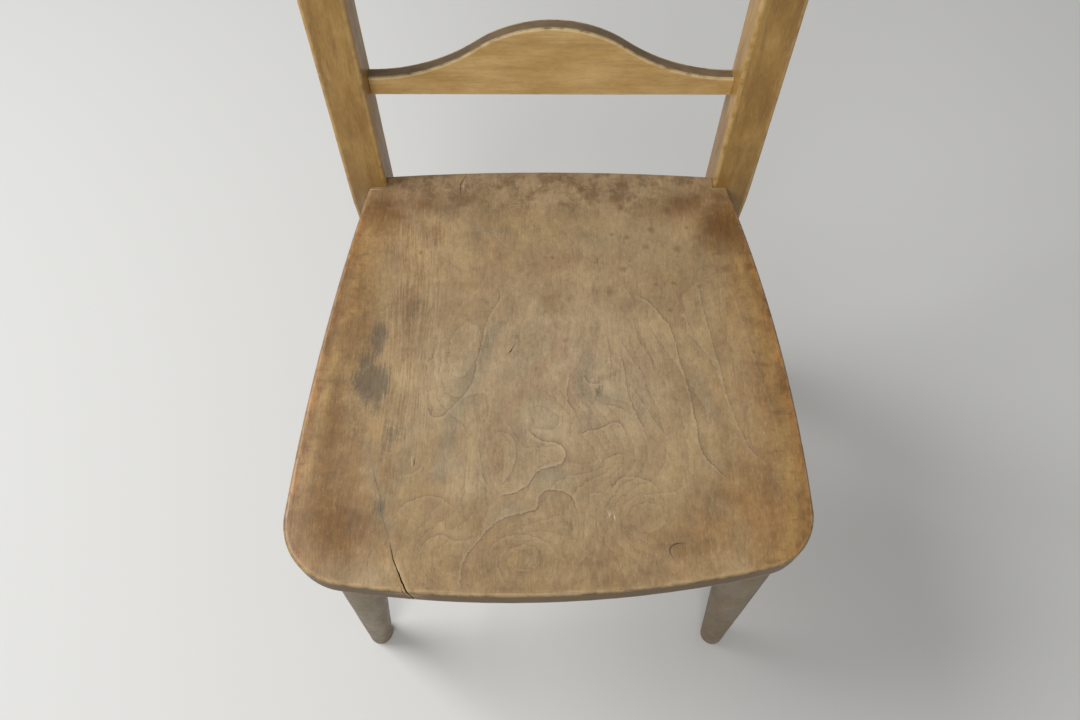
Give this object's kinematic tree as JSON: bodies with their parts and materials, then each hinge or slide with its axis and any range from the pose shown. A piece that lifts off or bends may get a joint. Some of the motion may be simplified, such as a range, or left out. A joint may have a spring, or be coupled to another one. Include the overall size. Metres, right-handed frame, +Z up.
{
  "type": "worn wooden chair",
  "caption": "Worn wooden chair with a bowed, split plank seat, back posts notched into its corners, a scooped middle rail, a plain top rail, and round front legs and stretchers.",
  "frame": {"origin": "on the floor, under the middle of the chair's bounding box", "axes": "+Z up; -Y is the chair's front; +X is to the right as seen from in front"},
  "size_m": [0.413, 0.4496, 0.8538],
  "materials": {
    "seat_wood": "bare, worn and stained",
    "post_wood": "worn old varnish",
    "leg_wood": "worn old varnish",
    "rail_wood": "worn old varnish",
    "stretcher_wood": "worn old varnish",
    "screw_steel": "dull and darkened"
  },
  "bodies": {
    "root": {"seat": "seat_wood", "left_back_post": "post_wood", "right_back_post": "post_wood", "left_front_leg": "leg_wood", "right_front_leg": "leg_wood", "middle_rail": "rail_wood", "top_rail": "rail_wood", "left_side_stretcher": "stretcher_wood", "right_side_stretcher": "stretcher_wood", "cross_stretcher": "stretcher_wood", "seat_screws": "screw_steel"}
  },
  "joints": []
}
